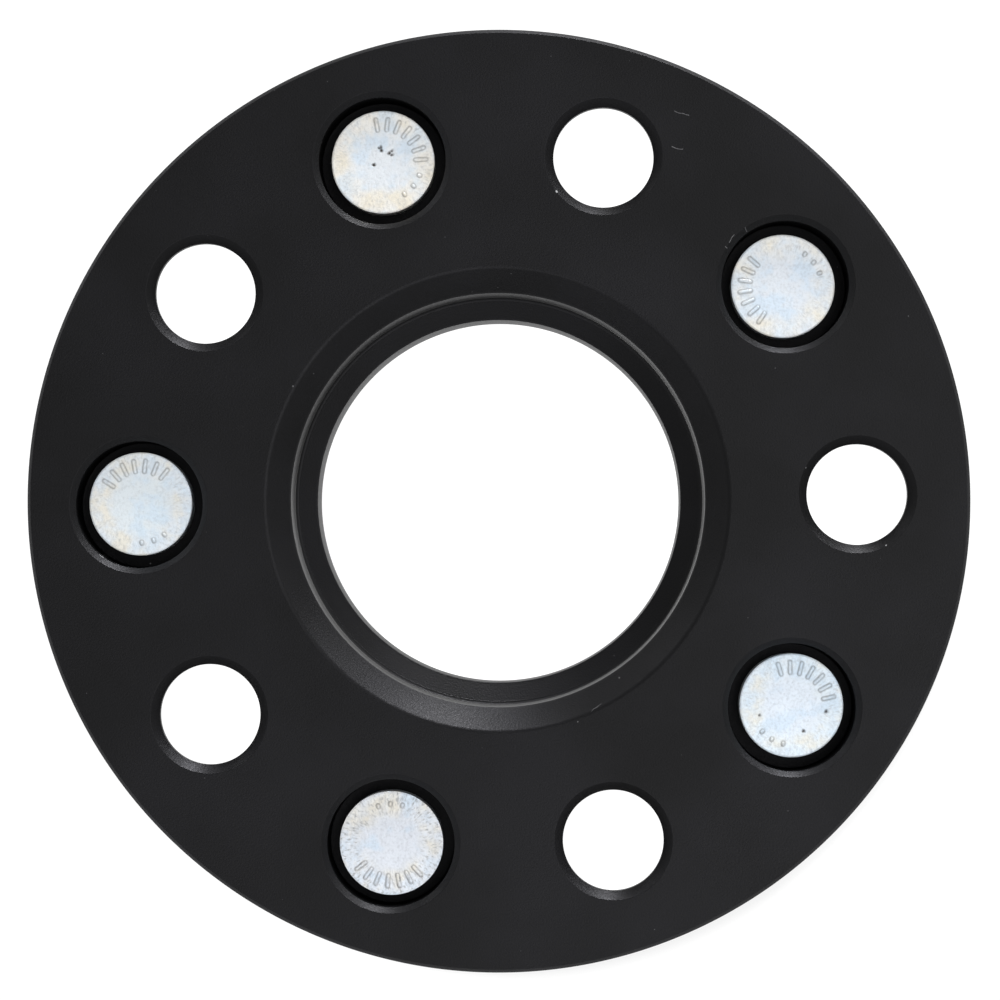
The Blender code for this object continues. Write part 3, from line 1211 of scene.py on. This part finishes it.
@dataclass(frozen=True)
class StudHead:
    """What tells one stud's head from the next.

    Attributes:
        surface: How the head came out.
        ticks_at: Middle of the arc of raised ticks, in degrees from +X.
        dots_at: Middle of the arc of raised dots, in degrees from +X.
        seed: Seed of the head's dents and plating.
        off_centre: How far the head was forged off its shank's axis, along X and Y.
        core: Colour of the plating in the middle of the head.
        edge: Colour of the plating towards its edge.
        pits: Pits in the head.
    """

    surface: HeadSurface
    ticks_at: float
    dots_at: float
    seed: int
    off_centre: tuple[float, float]
    core: str
    edge: str
    pits: tuple[Pit, ...] = ()

    @property
    def is_ragged(self) -> bool:
        """Whether the head came out ragged."""
        return self.surface is HeadSurface.RAGGED


@dataclass
class WheelStud:
    """A press-in wheel stud: headed, splined under the head and rolled with a metric thread."""

    datum: Datum
    tools: Toolbox
    thread_radius: float = 6.0 * MM
    thread_depth: float = 0.9 * MM
    pitch: float = 1.5 * MM
    crest_share: float = 0.125
    root_share: float = 0.75
    run_out: float = 1.6 * MM
    neck: float = 1.0 * MM
    pilot: float = 2.5 * MM
    pilot_break: float = 0.5 * MM
    spline_step: float = 1.15 * MM
    spline_depth: float = 0.4 * MM
    spline_teeth: int = 26
    spline_flank: float = 0.8
    spline_lead_in: float = 0.45 * MM
    spline_lead_in_height: float = 0.9 * MM
    spline_short_of_face: float = 1.4 * MM
    head_shoulder: float = 1.1 * MM
    head_thickness: float = 3.8 * MM
    head_edge_break: float = 0.2 * MM
    fine_edge: float = 0.12 * MM
    tick_count: int = 7
    tick_inner: float = 5.2 * MM
    tick_outer: float = 6.9 * MM
    tick_spread: float = 96.0 * DEGREE
    dot_count: int = 3
    dot_radius: float = 6.1 * MM
    dot_spread: float = 36.0 * DEGREE
    stroke_width: float = 0.42 * MM
    mark_height: float = 0.16 * MM
    mark_foot: float = 0.75
    mark_top: float = 0.25
    painted_foot_shade_width: float = 0.45
    painted_foot_shade: float = 0.48
    pit_radius: float = 0.42 * MM
    pit_depth: float = 0.25 * MM
    dent_size: float = 2.4 * MM
    dent_depth: float = 0.16 * MM
    torn_depth: float = 0.16 * MM
    torn_lobes: float = 5.5
    torn_rim: tuple[float, float] = (0.55, 0.8)
    ragged_streaks: float = 0.95
    plain_streaks: float = 0.5
    head_rows: int = 52
    rows_per_pitch: int = 12
    head_facets: int = 312
    thread_facets: int = 72
    crease: float = 40.0 * DEGREE

    @property
    def spline_radius(self) -> float:
        """Radius over the splines."""
        return self.thread_radius + self.spline_step

    @property
    def head_radius(self) -> float:
        """Radius of the head."""
        return self.spline_radius + self.head_shoulder

    @property
    def shoulder_height(self) -> float:
        """Height of the splines' lower end, where the shank starts."""
        return self.datum.wheel_face + self.spline_short_of_face

    def head_section(self) -> Section:
        """Section of the head and the splines, from the middle of the head's face.

        Returns:
            The section.
        """
        top = self.datum.head_top
        bottom = top - self.head_thickness
        end = self.shoulder_height
        return Section("head_section", (
            Corner(0.0, top, rows=self.head_rows),
            Corner(self.head_radius - self.head_edge_break, top, self.fine_edge, rows=2),
            Corner(self.head_radius, top - self.head_edge_break, self.fine_edge, rows=4),
            Corner(self.head_radius, bottom, self.fine_edge, rows=2),
            Corner(self.spline_radius, bottom, rows=6),
            Corner(self.spline_radius, end + self.spline_lead_in_height, rows=4),
            Corner(self.spline_radius - self.spline_lead_in, end, rows=1),
            Corner(self.thread_radius + self.fine_edge, end),
        ), round_steps=4)

    def thread_section(self) -> Section:
        """Section of the shank and the pilot, down to the middle of the tip.

        Returns:
            The section.
        """
        top, bottom = self.shoulder_height, self.pilot + self.thread_depth
        row = self.pitch / self.rows_per_pitch
        pilot_radius = self.thread_radius - self.thread_depth
        return Section("thread_section", (
            Corner(self.thread_radius + self.fine_edge, top),
            Corner(self.thread_radius, top - self.fine_edge, rows=round((top - bottom) / row)),
            Corner(self.thread_radius, bottom, rows=round(self.thread_depth / row)),
            Corner(pilot_radius, self.pilot, self.fine_edge, rows=4),
            Corner(pilot_radius, self.pilot_break, self.fine_edge),
            Corner(pilot_radius - self.pilot_break, 0.0, self.fine_edge, rows=6),
            Corner(0.0, 0.0),
        ))

    def blank(
        self, nodes: Nodes, head: bpy.types.NodeSocket, shank: bpy.types.NodeSocket
    ) -> bpy.types.Node:
        """Turns the head and the shank and welds them together.

        Args:
            nodes: The stud's nodes.
            head: The head's section.
            shank: The shank's section.

        Returns:
            A node that gives the blank.
        """
        joined = nodes.joined([
            nodes.run(self.tools.turned_surface, geometry=section, facets=facets)
            for section, facets in ((head, self.head_facets), (shank, self.thread_facets))
        ])
        shoulder = nodes.run(self.tools.level_face, geometry=joined, height=self.shoulder_height)
        return nodes.welded(nodes.joined([joined, shoulder]), 2 * WELD)

    def rolled(self, skin: Surface, turn: float, below_head: bpy.types.Node) -> bpy.types.Node:
        """Rolls the thread and cuts the splines.

        Args:
            skin: The blank's surface.
            turn: Angle of the first spline from +X.
            below_head: Gives 1 below the head.

        Returns:
            A node that gives how far each point moves.
        """
        parts = skin.add("ShaderNodeSeparateXYZ", inputs={"Vector": skin.place})
        bearing = skin.maths("ARCTAN2", parts.outputs["Y"], parts.outputs["X"])
        thread_top = self.shoulder_height - self.neck

        around = skin.maths("DIVIDE", bearing, math.tau)
        along = skin.maths("DIVIDE", skin.height, self.pitch)
        phase = skin.maths("FRACT", skin.maths("SUBTRACT", along, around))
        flank = skin.maths("ABSOLUTE", skin.maths("MULTIPLY_ADD", phase, 2.0, -1.0))
        groove = skin.ramp(flank, self.crest_share, self.root_share)
        fade = skin.ramp(skin.height, thread_top, thread_top - self.run_out)
        cut = skin.maths("MULTIPLY", skin.maths("MULTIPLY", groove, fade), self.thread_depth)
        thread_limit = skin.maths("SUBTRACT", self.thread_radius, cut)
        on_shank = skin.maths("LESS_THAN", skin.height, thread_top)

        from_tooth = skin.maths("SUBTRACT", bearing, turn)
        wave = skin.maths("COSINE", skin.maths("MULTIPLY", from_tooth, float(self.spline_teeth)))
        valley = skin.ramp(wave, self.spline_flank, -self.spline_flank)
        pressed = skin.maths("MULTIPLY", valley, self.spline_depth)
        spline_limit = skin.maths("SUBTRACT", self.spline_radius, pressed)
        upper_limit = skin.blend(below_head, self.head_radius, spline_limit)

        limit = skin.blend(on_shank, upper_limit, thread_limit)
        inward = skin.maths("SUBTRACT", skin.maths("MINIMUM", skin.reach, limit), skin.reach)
        return skin.scaled(skin.vectors("NORMALIZE", skin.flat), inward)

    def pitted(self, skin: Surface, seed: float, pits: bpy.types.NodeSocket) -> bpy.types.Node:
        """Finds the ragged pits.

        Args:
            skin: The blank's surface.
            seed: The head's seed.
            pits: The pits' places.

        Returns:
            A node that gives 1 in the middle of a pit.
        """
        near = skin.add("GeometryNodeProximity", {"target_element": "POINTS"}, {0: pits})
        ragged = skin.noise(skin.place, 2 * self.pit_radius, 1.0, seed)
        wander = skin.maths("MULTIPLY_ADD", ragged, 2 * self.pit_radius, -self.pit_radius)
        edge = skin.maths("ADD", near.outputs["Distance"], wander)
        return skin.maths("MULTIPLY", skin.soft_ramp(edge, self.pit_radius, 0.0), near.outputs["Is Valid"])

    def from_mark(self, skin: Surface, head: StudHead) -> bpy.types.NodeSocket:
        """Finds how far it is to the middle of the nearest raised tick or dot.

        Args:
            skin: The blank's surface.
            head: What the head looks like.

        Returns:
            The distance.
        """
        dot_end = self.dot_radius + self.stroke_width / 2
        arcs = [
            skin.run(
                self.tools.tick_arc, count=count, inner=inner, outer=outer, height=self.datum.head_top,
                middle=middle * DEGREE, spread=spread,
            )
            for count, inner, outer, middle, spread in (
                (self.tick_count, self.tick_inner, self.tick_outer, head.ticks_at, self.tick_spread),
                (self.dot_count, self.dot_radius, dot_end, head.dots_at, self.dot_spread),
            )
        ]
        near = skin.add("GeometryNodeProximity", {"target_element": "EDGES"}, {0: skin.joined(arcs)})
        return near.outputs["Distance"]

    def forged(
        self, skin: Surface, head: StudHead, pits: bpy.types.NodeSocket
    ) -> tuple[bpy.types.Node, bpy.types.Node]:
        """Forges the head's face: raised marks, dents, a rim that may be torn, and pits.

        Args:
            skin: The blank's surface.
            head: What the head looks like.
            pits: The pits' places.

        Returns:
            A node that gives how far each point rises, and one that gives how dark the pits are together
            with the shade painted round the foot of each raised mark.
        """
        seed, stroke = float(head.seed), self.stroke_width
        on_top = skin.soft_ramp(
            skin.height, self.datum.head_top - self.head_edge_break, self.datum.head_top
        )
        pit = self.pitted(skin, seed, pits)
        from_mark = self.from_mark(skin, head)
        mark = skin.soft_ramp(from_mark, self.mark_foot * stroke, self.mark_top * stroke)
        # Painted shade: a dark band round the foot of each raised mark.
        from_foot = skin.maths("ABSOLUTE", skin.maths("SUBTRACT", from_mark, self.mark_foot * stroke))
        foot = skin.soft_ramp(from_foot, self.painted_foot_shade_width * stroke, 0.0, high=self.painted_foot_shade)
        dents = skin.noise(skin.place, self.dent_size, 3.0, seed)
        outward = skin.vectors("NORMALIZE", skin.flat)
        torn = skin.noise(skin.scaled(outward, self.torn_lobes), 1.0, 3.0, seed)
        rim = skin.soft_ramp(skin.reach, *(share * self.head_radius for share in self.torn_rim))
        rise = skin.maths("MULTIPLY", mark, self.mark_height)
        for share, depth in (
            (dents, self.dent_depth),
            (skin.maths("MULTIPLY", torn, rim), self.torn_depth if head.is_ragged else 0.0),
            (pit, self.pit_depth),
        ):
            rise = skin.maths("SUBTRACT", rise, skin.maths("MULTIPLY", share, depth))
        grime = skin.maths("MULTIPLY", skin.maths("MAXIMUM", pit, foot), on_top)
        return skin.maths("MULTIPLY", rise, on_top), grime

    def tree(
        self, turn: float, head: StudHead, guides: list[bpy.types.Object], material: bpy.types.Material
    ) -> bpy.types.NodeTree:
        """Makes the tree that turns a stud, rolls its thread and splines, and forges its head.

        Args:
            turn: Angle of the first spline from +X.
            head: What the head looks like.
            guides: The shank's section and the pits.
            material: The stud's material.

        Returns:
            A tree that starts from the head's section.
        """
        nodes, given = new_tree("Wheel stud")
        shank, pits = (nodes.section(guide) for guide in guides)
        skin = Surface.read(nodes, nodes.add("GeometryNodeInputPosition").outputs[0])
        head_bottom = self.datum.head_top - self.head_thickness
        below_head = skin.maths("LESS_THAN", skin.height, head_bottom - WELD)
        rise, grime = self.forged(skin, head, pits)
        shift = skin.scaled((*head.off_centre, 0.0), skin.maths("SUBTRACT", 1.0, below_head))
        offset = skin.vectors("ADD", self.rolled(skin, turn, below_head), skin.upright(rise))
        stored = skin.add("GeometryNodeStoreNamedAttribute", {"data_type": "FLOAT_VECTOR"}, {
            "Geometry": self.blank(nodes, given["Geometry"], shank), "Name": "from_axis",
            "Value": skin.place,
        })
        # Stores how dark the pits are, and the painted shade round the foot of the marks.
        stored = skin.add("GeometryNodeStoreNamedAttribute", inputs={
            "Geometry": stored, "Name": "grime", "Value": grime,
        })
        shaped = skin.add("GeometryNodeSetPosition", inputs={
            "Geometry": stored, "Offset": skin.vectors("ADD", offset, shift),
        })
        return skin.dressed(shaped, material)

    def pit_guide(self, head: StudHead) -> bpy.types.Object:
        """Gives the head's pits as an object with a vertex for each.

        Args:
            head: What the head looks like.

        Returns:
            The object.
        """
        mesh = bpy.data.meshes.new("pits")
        mesh.from_pydata([(pit.right, pit.up, self.datum.head_top) for pit in head.pits], [], [])
        return link_object("pits", mesh)

    def build(self, number: int, head: StudHead) -> bpy.types.Object:
        """Builds one stud and hangs it on the frame.

        Args:
            number: The stud's number, from 1.
            head: What its head looks like.

        Returns:
            The stud.
        """
        axis = self.datum.stud_axes[number - 1]
        strength = self.ragged_streaks if head.is_ragged else self.plain_streaks
        finish = ZincPlate(
            f"zinc_plated_steel_{number}", head.core, head.edge, float(head.seed), strength
        )
        guides = [self.thread_section().guide(), self.pit_guide(head)]
        tree = self.tree(math.atan2(axis.y, axis.x), head, guides, finish.make())
        stud = grow(f"wheel_stud_{number}_dressed", self.head_section().mesh(), tree, guides)
        crisp_edges(stud.data, self.crease)
        stud.data.transform(Matrix.Translation(axis))
        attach(stud, "root")
        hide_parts(f"wheel_stud_{number}")
        return stud


@dataclass
class StudSet:
    """The five studs, each with its own head."""

    stud: WheelStud
    heads: tuple[StudHead, ...] = (
        StudHead(
            HeadSurface.EVEN, ticks_at=188.0, dots_at=38.0, seed=3,
            off_centre=(-0.22 * MM, -0.17 * MM), core="#D4DAE1", edge="#DBDFE2",
        ),
        StudHead(
            HeadSurface.PITTED, ticks_at=52.0, dots_at=-38.0, seed=7,
            off_centre=(0.05 * MM, 0.0), core="#DBE0E5", edge="#E5E4E0",
            pits=(
                Pit(-0.72 * MM, 2.25 * MM), Pit(-0.30 * MM, 1.95 * MM), Pit(-0.34 * MM, 2.40 * MM),
                Pit(1.05 * MM, 1.50 * MM), Pit(1.42 * MM, 1.25 * MM), Pit(1.36 * MM, 1.75 * MM),
                Pit(-1.56 * MM, -0.45 * MM),
            ),
        ),
        StudHead(
            HeadSurface.EVEN, ticks_at=100.0, dots_at=-70.0, seed=11,
            off_centre=(0.0, 0.13 * MM), core="#D8E0E5", edge="#DAE1E7",
        ),
        StudHead(
            HeadSurface.RAGGED, ticks_at=265.0, dots_at=92.0, seed=19,
            off_centre=(0.0, -0.14 * MM), core="#D8DDE5", edge="#DDE2E9",
        ),
        StudHead(
            HeadSurface.PITTED, ticks_at=60.0, dots_at=240.0, seed=23,
            off_centre=(0.06 * MM, 0.2 * MM), core="#DAE3ED", edge="#DCE6EE",
            pits=(Pit(1.9 * MM, -4.1 * MM), Pit(-5.1 * MM, -1.6 * MM), Pit(5.5 * MM, -0.9 * MM)),
        ),
    )

    def build(self) -> list[bpy.types.Object]:
        """Builds the studs.

        Returns:
            The studs, in order.
        """
        return [self.stud.build(number, head) for number, head in enumerate(self.heads, start=1)]


def direction(azimuth: float, elevation: float) -> Vector:
    """Gives the unit vector that points in a direction of the compass, in degrees."""
    flat = math.cos(elevation * DEGREE)
    return Vector((
        flat * math.cos(azimuth * DEGREE), flat * math.sin(azimuth * DEGREE), math.sin(elevation * DEGREE)
    ))


@dataclass(frozen=True)
class Softbox:
    """A soft lamp.

    Attributes:
        name: The lamp's name.
        azimuth: Direction that it stands in, in degrees from +X.
        elevation: Its height above the horizon, in degrees.
        distance: Its distance from the middle of the spacer.
        width: Its width along the horizon.
        height: Its height across that.
        power: Its power in watts.
        mirrored: Whether metal shows it.
    """

    name: str
    azimuth: float
    elevation: float
    distance: float
    width: float
    height: float
    power: float
    mirrored: bool

    def place(self, target: Vector) -> None:
        """Hangs the lamp so that it faces a point.

        Args:
            target: The point.
        """
        lamp = bpy.data.lights.new(self.name, "AREA")
        lamp.shape = "RECTANGLE"
        lamp.size = self.width
        lamp.size_y = self.height
        lamp.energy = self.power
        away = direction(self.azimuth, self.elevation)
        stand = bpy.data.objects.new(self.name, lamp)
        stand.location = target + away * self.distance
        stand.rotation_euler = away.to_track_quat("Z", "Y").to_euler()
        stand.visible_glossy = self.mirrored
        bpy.context.scene.collection.objects.link(stand)


@dataclass
class Studio:
    """A pale floor, soft light and a camera that looks straight down on the hub face.

    Metal sees a tent of diffusing cloth: bright at the horizon, dimmer above that, brighter again overhead
    on one side, and dark round the hole that the lens looks through.
    """

    datum: Datum
    camera_distance: float = 450.0 * MM
    tilt_x: float = -1.26 * DEGREE
    tilt_y: float = -1.22 * DEGREE
    roll: float = 0.22 * DEGREE
    shift_right: float = -0.44 * MM
    shift_up: float = 0.10 * MM
    focal_length: float = 102.01
    sensor_width: float = 36.0
    clip_start: float = 10.0 * MM
    floor_size: float = 4.0
    floor_gap: float = 0.05 * MM
    floor_colour: str = "#F2F2F2"
    floor_matt: float = 0.25
    floor_glow: float = 0.80
    bore_spot: float = 32.5 * MM
    lug_spot: float = 10.5 * MM
    lug_spot_reach: float = 62.5 * MM
    spot_blur: float = 4.0 * MM
    painted_shade_glow_under: float = 0.70
    shadow_share: float = 0.9
    ambient: float = 0.6
    horizon: float = 0.95
    mid_sky: float = 0.45
    overhead_dim: float = 0.22
    overhead_bright: float = 2.35
    horizon_band: tuple[float, float] = (0.1, 0.45)
    overhead_band: tuple[float, float] = (0.7, 0.95)
    bright_azimuth: float = -35.0
    bright_band: tuple[float, float] = (-0.35, 0.4)
    lens_azimuth: float = 150.0
    lens_elevation: float = 87.0
    lens_shade: float = 0.4
    lens_shade_angles: tuple[float, float] = (22.0 * DEGREE, 8.0 * DEGREE)
    softboxes: tuple[Softbox, ...] = (
        Softbox(
            "low_softbox", azimuth=78.0, elevation=13.0, distance=0.9, width=0.10, height=0.10, power=6.0,
            mirrored=True,
        ),
        Softbox(
            "side_softbox", azimuth=48.0, elevation=10.0, distance=0.9, width=0.2, height=0.12, power=1.0,
            mirrored=True,
        ),
        Softbox(
            "back_softbox", azimuth=137.0, elevation=10.0, distance=0.9, width=0.2, height=0.12, power=0.45,
            mirrored=True,
        ),
        Softbox(
            "overhead_softbox", azimuth=118.0, elevation=83.8, distance=1.1, width=0.06, height=0.06,
            power=10.0, mirrored=False,
        ),
    )

    def tent(self, nodes: Nodes) -> bpy.types.Node:
        """Hangs the tent that metal sees.

        Args:
            nodes: The world's nodes.

        Returns:
            A node that gives how bright the tent is.
        """
        way = nodes.add("ShaderNodeTexCoord").outputs["Generated"]
        up = nodes.add("ShaderNodeSeparateXYZ", inputs={"Vector": way}).outputs["Z"]
        to_side = nodes.vectors("DOT_PRODUCT", way, direction(self.bright_azimuth, 0.0))
        to_lens = nodes.vectors("DOT_PRODUCT", way, direction(self.lens_azimuth, self.lens_elevation))
        overhead = nodes.soft_ramp(to_side, *self.bright_band, self.overhead_dim, self.overhead_bright)
        side = nodes.soft_ramp(up, *self.horizon_band, self.horizon, self.mid_sky)
        cloth = nodes.blend(nodes.soft_ramp(up, *self.overhead_band), side, overhead)
        edge, core = (math.cos(angle) for angle in self.lens_shade_angles)
        return nodes.maths("MULTIPLY", cloth, nodes.soft_ramp(to_lens, edge, core, 1.0, self.lens_shade))

    def light_up(self) -> None:
        """Hangs the lamps and sets the world: white to the eye, and a tent to metal."""
        for softbox in self.softboxes:
            softbox.place(Vector((0.0, 0.0, self.datum.hub_face)))
        world = bpy.data.worlds.new("studio")
        bpy.context.scene.world = world
        world.use_nodes = True
        nodes = Nodes(world.node_tree)
        path = nodes.add("ShaderNodeLightPath").outputs
        mirrored = nodes.maths("MAXIMUM", path["Is Glossy Ray"], path["Is Transmission Ray"])
        lit = nodes.blend(mirrored, self.ambient, self.tent(nodes))
        nodes.feed(nodes.tree.nodes["Background"], {
            "Color": (1.0, 1.0, 1.0, 1.0), "Strength": nodes.blend(path["Is Camera Ray"], lit, 1.0),
        })

    def painted_light_spots(self, nodes: Nodes, place: bpy.types.NodeSocket) -> bpy.types.Node:
        """Finds the spots under the bore and the lug holes where light falling through them is painted on
        the floor.

        Args:
            nodes: The floor's nodes.
            place: Where the floor is.

        Returns:
            A node that gives 1 in the painted spots of light.
        """
        holes = len(self.datum.stud_axes)
        spots = [(Vector(), self.bore_spot)]
        for hole in range(holes):
            turn = Matrix.Rotation(self.datum.lug_angle + math.tau * hole / holes, 3, "Z")
            spots.append((turn @ Vector((self.lug_spot_reach, 0.0, 0.0)), self.lug_spot))
        return nodes.spots([
            (nodes.vectors("DISTANCE", place, centre), radius + self.spot_blur, radius)
            for centre, radius in spots
        ])

    def lay_floor(self) -> None:
        """Lays the floor just under the stud tips.

        It looks white and keeps the spacer's shadow. Light falling through the holes is painted on it as
        brighter glow in spots under them.
        Metal sees it with painted shade: its glow is dimmer under the spacer.
        """
        half = self.floor_size / 2
        mesh = bpy.data.meshes.new("studio_floor")
        corners = [(-half, -half), (half, -half), (half, half), (-half, half)]
        mesh.from_pydata([(x, y, -self.floor_gap) for x, y in corners], [], [(0, 1, 2, 3)])
        floor = link_object("studio_floor", mesh)
        material, nodes, shader = new_material("matt_white_paper")
        nodes.tree.nodes.remove(shader)
        is_seen = nodes.add("ShaderNodeLightPath").outputs["Is Camera Ray"]
        place = nodes.add("ShaderNodeTexCoord").outputs["Object"]
        rim = self.datum.plate_radius
        # Painted shade: metal sees the floor's glow dimmer under the spacer.
        under = nodes.soft_ramp(nodes.vectors("LENGTH", place), rim, self.shadow_share * rim)
        # Painted light: the glow is full white in spots under the bore and the lug holes.
        seen = nodes.blend(self.painted_light_spots(nodes, place), self.floor_glow, 1.0)
        glow_with_painted_shade = nodes.blend(under, 1.0, self.painted_shade_glow_under)
        glow = nodes.add("ShaderNodeEmission", inputs={"Strength": nodes.blend(is_seen, glow_with_painted_shade, seen)})
        matt_colour = [self.floor_matt * channel for channel in linear(self.floor_colour)[:3]]
        paper = nodes.add("ShaderNodeBsdfDiffuse", inputs={"Color": (*matt_colour, 1.0)})
        both = nodes.add("ShaderNodeAddShader", inputs={0: glow, 1: paper})
        nodes.feed(nodes.tree.nodes["Material Output"], {"Surface": both})
        mesh.materials.append(material)

    def set_camera(self) -> None:
        """Sets the camera at the angle that the circles at different depths call for."""
        turn = Matrix.Rotation(self.tilt_x, 3, "X") @ Matrix.Rotation(self.tilt_y, 3, "Y")
        offset = Vector((self.shift_right, self.shift_up, -self.camera_distance))
        place = turn.transposed() @ -offset + Vector((0.0, 0.0, self.datum.hub_face))
        rotation = turn.transposed() @ Matrix.Rotation(self.roll, 3, "Z")
        lens = bpy.data.cameras.new("camera")
        lens.lens = self.focal_length
        lens.sensor_width = self.sensor_width
        lens.clip_start = self.clip_start
        camera = bpy.data.objects.new("camera", lens)
        camera.matrix_world = Matrix.Translation(place) @ rotation.to_4x4()
        bpy.context.scene.collection.objects.link(camera)
        bpy.context.scene.camera = camera

    def build(self) -> None:
        """Sets up the floor, the light, the camera and the plain view."""
        self.lay_floor()
        self.light_up()
        self.set_camera()
        bpy.context.scene.view_settings.view_transform = "Standard"


def report(piece: bpy.types.Object) -> None:
    """Reports a piece's name and its number of triangles."""
    triangles = sum(len(face.vertices) - 2 for face in piece.data.polygons)
    log.info("%s: %d triangles", piece.name, triangles)


def main() -> None:
    """Builds the body, the studs and the studio in order, and reports each piece."""
    logging.basicConfig(level=logging.INFO, format="%(name)s %(message)s")
    datum = Datum.read()
    tools = Toolbox()
    report(SpacerBody(datum, tools).build())
    for stud in StudSet(WheelStud(datum, tools)).build():
        report(stud)
    Studio(datum).build()


if __name__ == "__main__":
    main()
